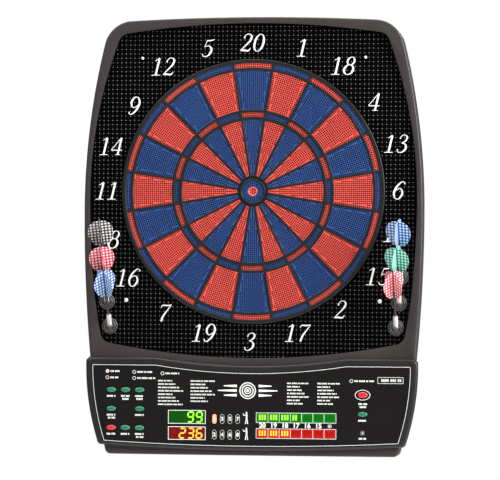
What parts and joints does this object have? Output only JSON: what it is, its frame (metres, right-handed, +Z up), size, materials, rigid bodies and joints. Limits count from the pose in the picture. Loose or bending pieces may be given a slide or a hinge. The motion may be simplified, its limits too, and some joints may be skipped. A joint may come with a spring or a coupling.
{
  "type": "electronic dartboard",
  "caption": "Wall-hung electronic dartboard with a round soft-tip target, a scoring console with displays and push buttons, and darts in side holders.",
  "frame": {"origin": "on the wall plane, straight behind the bull's-eye", "axes": "+X to the right seen from the front, +Y into the wall, +Z up; the target faces -Y"},
  "size_m": [0.512, 0.1032, 0.658],
  "materials": {
    "housing_plastic": "fine-grained moulded plastic, warm charcoal, satin",
    "field_plastic": "black perforated plastic with printed white numerals",
    "spider_plastic": "dark grey moulded plastic, satin",
    "panel_print": "black printed overlay with white markings",
    "segment_red": "moulded plastic with a grid of small holes",
    "segment_blue": "moulded plastic with a grid of small holes",
    "button_green": "soft glossy button cap",
    "button_red": "soft glossy button cap",
    "button_grey": "satin",
    "display_lens": "dark lens over lit segments",
    "foam_sheet": "closed-cell foam",
    "membrane_film": "printed switch film",
    "circuit_board": "green solder mask",
    "speaker_steel": "plated basket and magnet",
    "jack_plastic": "black moulded plastic",
    "holder_plastic": "black moulded plastic",
    "dart_metal": "turned barrel with a plastic shaft and printed flight"
  },
  "bodies": {
    "housing": {"rear_cover": "housing_plastic", "front_frame": "housing_plastic", "console_cover": "housing_plastic", "number_field": "field_plastic", "spider": "spider_plastic", "console_panel": "panel_print", "foam_pad": "foam_sheet", "membrane_sheet": "membrane_film", "main_board": "circuit_board", "score_display_green": "display_lens", "score_display_red": "display_lens", "cricket_display_green": "display_lens", "cricket_display_red": "display_lens", "speaker": "speaker_steel", "dc_jack": "jack_plastic", "dart_holder_left_top": "holder_plastic", "dart_holder_left_middle": "holder_plastic", "dart_holder_left_bottom": "holder_plastic", "dart_holder_right_top": "holder_plastic", "dart_holder_right_middle": "holder_plastic", "dart_holder_right_bottom": "holder_plastic"},
    "sector_20": {"sector_20": "segment_blue"},
    "sector_01": {"sector_01": "segment_red"},
    "sector_18": {"sector_18": "segment_blue"},
    "sector_04": {"sector_04": "segment_red"},
    "sector_13": {"sector_13": "segment_blue"},
    "sector_06": {"sector_06": "segment_red"},
    "sector_10": {"sector_10": "segment_blue"},
    "sector_15": {"sector_15": "segment_red"},
    "sector_02": {"sector_02": "segment_blue"},
    "sector_17": {"sector_17": "segment_red"},
    "sector_03": {"sector_03": "segment_blue"},
    "sector_19": {"sector_19": "segment_red"},
    "sector_07": {"sector_07": "segment_blue"},
    "sector_16": {"sector_16": "segment_red"},
    "sector_08": {"sector_08": "segment_blue"},
    "sector_11": {"sector_11": "segment_red"},
    "sector_14": {"sector_14": "segment_blue"},
    "sector_09": {"sector_09": "segment_red"},
    "sector_12": {"sector_12": "segment_blue"},
    "sector_05": {"sector_05": "segment_red"},
    "bull_outer": {"bull_outer": "segment_blue"},
    "bull_inner": {"bull_inner": "segment_red"},
    "button_on_off": {"button_on_off": "button_green"},
    "button_score": {"button_score": "button_green"},
    "button_bounce_out": {"button_bounce_out": "button_green"},
    "button_double": {"button_double": "button_green"},
    "button_handicap": {"button_handicap": "button_green"},
    "button_power": {"button_power": "button_red"},
    "button_select": {"button_select": "button_green"},
    "button_player": {"button_player": "button_green"},
    "button_start": {"button_start": "button_red"},
    "button_game": {"button_game": "button_green"},
    "button_reset": {"button_reset": "button_grey"},
    "dart_left_top": {"dart_left_top": "dart_metal"},
    "dart_left_middle": {"dart_left_middle": "dart_metal"},
    "dart_left_bottom": {"dart_left_bottom": "dart_metal"},
    "dart_right_top": {"dart_right_top": "dart_metal"},
    "dart_right_middle": {"dart_right_middle": "dart_metal"},
    "dart_right_bottom": {"dart_right_bottom": "dart_metal"}
  },
  "joints": [
    {"name": "sector_20_press", "type": "slide", "parent": "housing", "child": "sector_20", "axis": [0, 1, 0], "range_m": [0, 0.0012], "stiffness_N_per_m": 600, "springref_m": -0.0005},
    {"name": "sector_01_press", "type": "slide", "parent": "housing", "child": "sector_01", "axis": [0, 1, 0], "range_m": [0, 0.0012], "stiffness_N_per_m": 600, "springref_m": -0.0005},
    {"name": "sector_18_press", "type": "slide", "parent": "housing", "child": "sector_18", "axis": [0, 1, 0], "range_m": [0, 0.0012], "stiffness_N_per_m": 600, "springref_m": -0.0005},
    {"name": "sector_04_press", "type": "slide", "parent": "housing", "child": "sector_04", "axis": [0, 1, 0], "range_m": [0, 0.0012], "stiffness_N_per_m": 600, "springref_m": -0.0005},
    {"name": "sector_13_press", "type": "slide", "parent": "housing", "child": "sector_13", "axis": [0, 1, 0], "range_m": [0, 0.0012], "stiffness_N_per_m": 600, "springref_m": -0.0005},
    {"name": "sector_06_press", "type": "slide", "parent": "housing", "child": "sector_06", "axis": [0, 1, 0], "range_m": [0, 0.0012], "stiffness_N_per_m": 600, "springref_m": -0.0005},
    {"name": "sector_10_press", "type": "slide", "parent": "housing", "child": "sector_10", "axis": [0, 1, 0], "range_m": [0, 0.0012], "stiffness_N_per_m": 600, "springref_m": -0.0005},
    {"name": "sector_15_press", "type": "slide", "parent": "housing", "child": "sector_15", "axis": [0, 1, 0], "range_m": [0, 0.0012], "stiffness_N_per_m": 600, "springref_m": -0.0005},
    {"name": "sector_02_press", "type": "slide", "parent": "housing", "child": "sector_02", "axis": [0, 1, 0], "range_m": [0, 0.0012], "stiffness_N_per_m": 600, "springref_m": -0.0005},
    {"name": "sector_17_press", "type": "slide", "parent": "housing", "child": "sector_17", "axis": [0, 1, 0], "range_m": [0, 0.0012], "stiffness_N_per_m": 600, "springref_m": -0.0005},
    {"name": "sector_03_press", "type": "slide", "parent": "housing", "child": "sector_03", "axis": [0, 1, 0], "range_m": [0, 0.0012], "stiffness_N_per_m": 600, "springref_m": -0.0005},
    {"name": "sector_19_press", "type": "slide", "parent": "housing", "child": "sector_19", "axis": [0, 1, 0], "range_m": [0, 0.0012], "stiffness_N_per_m": 600, "springref_m": -0.0005},
    {"name": "sector_07_press", "type": "slide", "parent": "housing", "child": "sector_07", "axis": [0, 1, 0], "range_m": [0, 0.0012], "stiffness_N_per_m": 600, "springref_m": -0.0005},
    {"name": "sector_16_press", "type": "slide", "parent": "housing", "child": "sector_16", "axis": [0, 1, 0], "range_m": [0, 0.0012], "stiffness_N_per_m": 600, "springref_m": -0.0005},
    {"name": "sector_08_press", "type": "slide", "parent": "housing", "child": "sector_08", "axis": [0, 1, 0], "range_m": [0, 0.0012], "stiffness_N_per_m": 600, "springref_m": -0.0005},
    {"name": "sector_11_press", "type": "slide", "parent": "housing", "child": "sector_11", "axis": [0, 1, 0], "range_m": [0, 0.0012], "stiffness_N_per_m": 600, "springref_m": -0.0005},
    {"name": "sector_14_press", "type": "slide", "parent": "housing", "child": "sector_14", "axis": [0, 1, 0], "range_m": [0, 0.0012], "stiffness_N_per_m": 600, "springref_m": -0.0005},
    {"name": "sector_09_press", "type": "slide", "parent": "housing", "child": "sector_09", "axis": [0, 1, 0], "range_m": [0, 0.0012], "stiffness_N_per_m": 600, "springref_m": -0.0005},
    {"name": "sector_12_press", "type": "slide", "parent": "housing", "child": "sector_12", "axis": [0, 1, 0], "range_m": [0, 0.0012], "stiffness_N_per_m": 600, "springref_m": -0.0005},
    {"name": "sector_05_press", "type": "slide", "parent": "housing", "child": "sector_05", "axis": [0, 1, 0], "range_m": [0, 0.0012], "stiffness_N_per_m": 600, "springref_m": -0.0005},
    {"name": "bull_outer_press", "type": "slide", "parent": "housing", "child": "bull_outer", "axis": [0, 1, 0], "range_m": [0, 0.0012], "stiffness_N_per_m": 300, "springref_m": -0.0005},
    {"name": "bull_inner_press", "type": "slide", "parent": "housing", "child": "bull_inner", "axis": [0, 1, 0], "range_m": [0, 0.0012], "stiffness_N_per_m": 300, "springref_m": -0.0005},
    {"name": "button_on_off_press", "type": "slide", "parent": "housing", "child": "button_on_off", "axis": [0, 1, 0], "range_m": [0, 0.001], "stiffness_N_per_m": 200, "springref_m": -0.0005},
    {"name": "button_score_press", "type": "slide", "parent": "housing", "child": "button_score", "axis": [0, 1, 0], "range_m": [0, 0.001], "stiffness_N_per_m": 200, "springref_m": -0.0005},
    {"name": "button_bounce_out_press", "type": "slide", "parent": "housing", "child": "button_bounce_out", "axis": [0, 1, 0], "range_m": [0, 0.001], "stiffness_N_per_m": 200, "springref_m": -0.0005},
    {"name": "button_double_press", "type": "slide", "parent": "housing", "child": "button_double", "axis": [0, 1, 0], "range_m": [0, 0.001], "stiffness_N_per_m": 200, "springref_m": -0.0005},
    {"name": "button_handicap_press", "type": "slide", "parent": "housing", "child": "button_handicap", "axis": [0, 1, 0], "range_m": [0, 0.001], "stiffness_N_per_m": 200, "springref_m": -0.0005},
    {"name": "button_power_press", "type": "slide", "parent": "housing", "child": "button_power", "axis": [0, 1, 0], "range_m": [0, 0.001], "stiffness_N_per_m": 200, "springref_m": -0.0005},
    {"name": "button_select_press", "type": "slide", "parent": "housing", "child": "button_select", "axis": [0, 1, 0], "range_m": [0, 0.001], "stiffness_N_per_m": 200, "springref_m": -0.0005},
    {"name": "button_player_press", "type": "slide", "parent": "housing", "child": "button_player", "axis": [0, 1, 0], "range_m": [0, 0.001], "stiffness_N_per_m": 200, "springref_m": -0.0005},
    {"name": "button_start_press", "type": "slide", "parent": "housing", "child": "button_start", "axis": [0, 1, 0], "range_m": [0, 0.001], "stiffness_N_per_m": 200, "springref_m": -0.0005},
    {"name": "button_game_press", "type": "slide", "parent": "housing", "child": "button_game", "axis": [0, 1, 0], "range_m": [0, 0.001], "stiffness_N_per_m": 200, "springref_m": -0.0005},
    {"name": "button_reset_press", "type": "slide", "parent": "housing", "child": "button_reset", "axis": [0, 1, 0], "range_m": [0, 0.001], "stiffness_N_per_m": 200, "springref_m": -0.0005},
    {"name": "dart_left_top_draw", "type": "slide", "parent": "housing", "child": "dart_left_top", "axis": [0, -0.5807, 0.8141], "range_m": [0, 0.06]},
    {"name": "dart_left_middle_draw", "type": "slide", "parent": "housing", "child": "dart_left_middle", "axis": [0, -0.5807, 0.8141], "range_m": [0, 0.06]},
    {"name": "dart_left_bottom_draw", "type": "slide", "parent": "housing", "child": "dart_left_bottom", "axis": [0, -0.5807, 0.8141], "range_m": [0, 0.06]},
    {"name": "dart_right_top_draw", "type": "slide", "parent": "housing", "child": "dart_right_top", "axis": [0, -0.5807, 0.8141], "range_m": [0, 0.06]},
    {"name": "dart_right_middle_draw", "type": "slide", "parent": "housing", "child": "dart_right_middle", "axis": [0, -0.5807, 0.8141], "range_m": [0, 0.06]},
    {"name": "dart_right_bottom_draw", "type": "slide", "parent": "housing", "child": "dart_right_bottom", "axis": [0, -0.5807, 0.8141], "range_m": [0, 0.06]}
  ]
}
